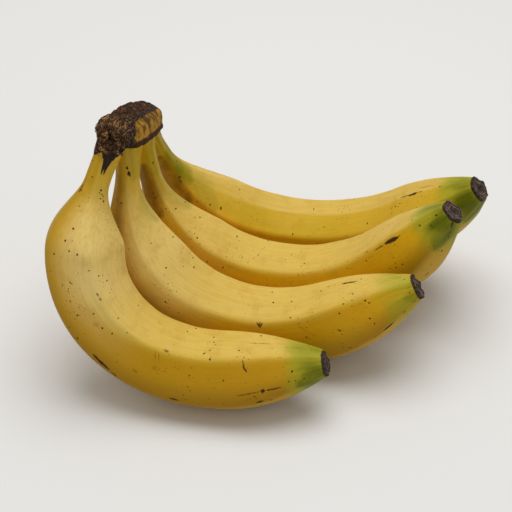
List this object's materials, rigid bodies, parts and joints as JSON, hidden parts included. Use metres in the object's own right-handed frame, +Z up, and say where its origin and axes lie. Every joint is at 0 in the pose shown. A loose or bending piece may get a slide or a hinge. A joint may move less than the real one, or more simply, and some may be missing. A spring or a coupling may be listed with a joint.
{
  "type": "hand of bananas",
  "caption": "Hand of ripe yellow bananas joined at a cut brown crown, lying on its outer curves with the green-tinged, dry-ended tips raised.",
  "frame": {"origin": "on the surface that carries the hand, under the middle of its box", "axes": "+X along the fingers from the crown to the tips, +Y across the row of fingers, +Z up"},
  "size_m": [0.2099, 0.1461, 0.1365],
  "materials": {
    "peel": "waxy ripe yellow peel with a soft sheen, green at the tips and necks, fine brown specks",
    "crown_stalk": "dry, rough, fibrous brown cut stalk"
  },
  "bodies": {
    "root": {"crown": "crown_stalk", "finger_1": "peel", "finger_2": "peel", "finger_3": "peel", "finger_4": "peel"}
  },
  "joints": []
}
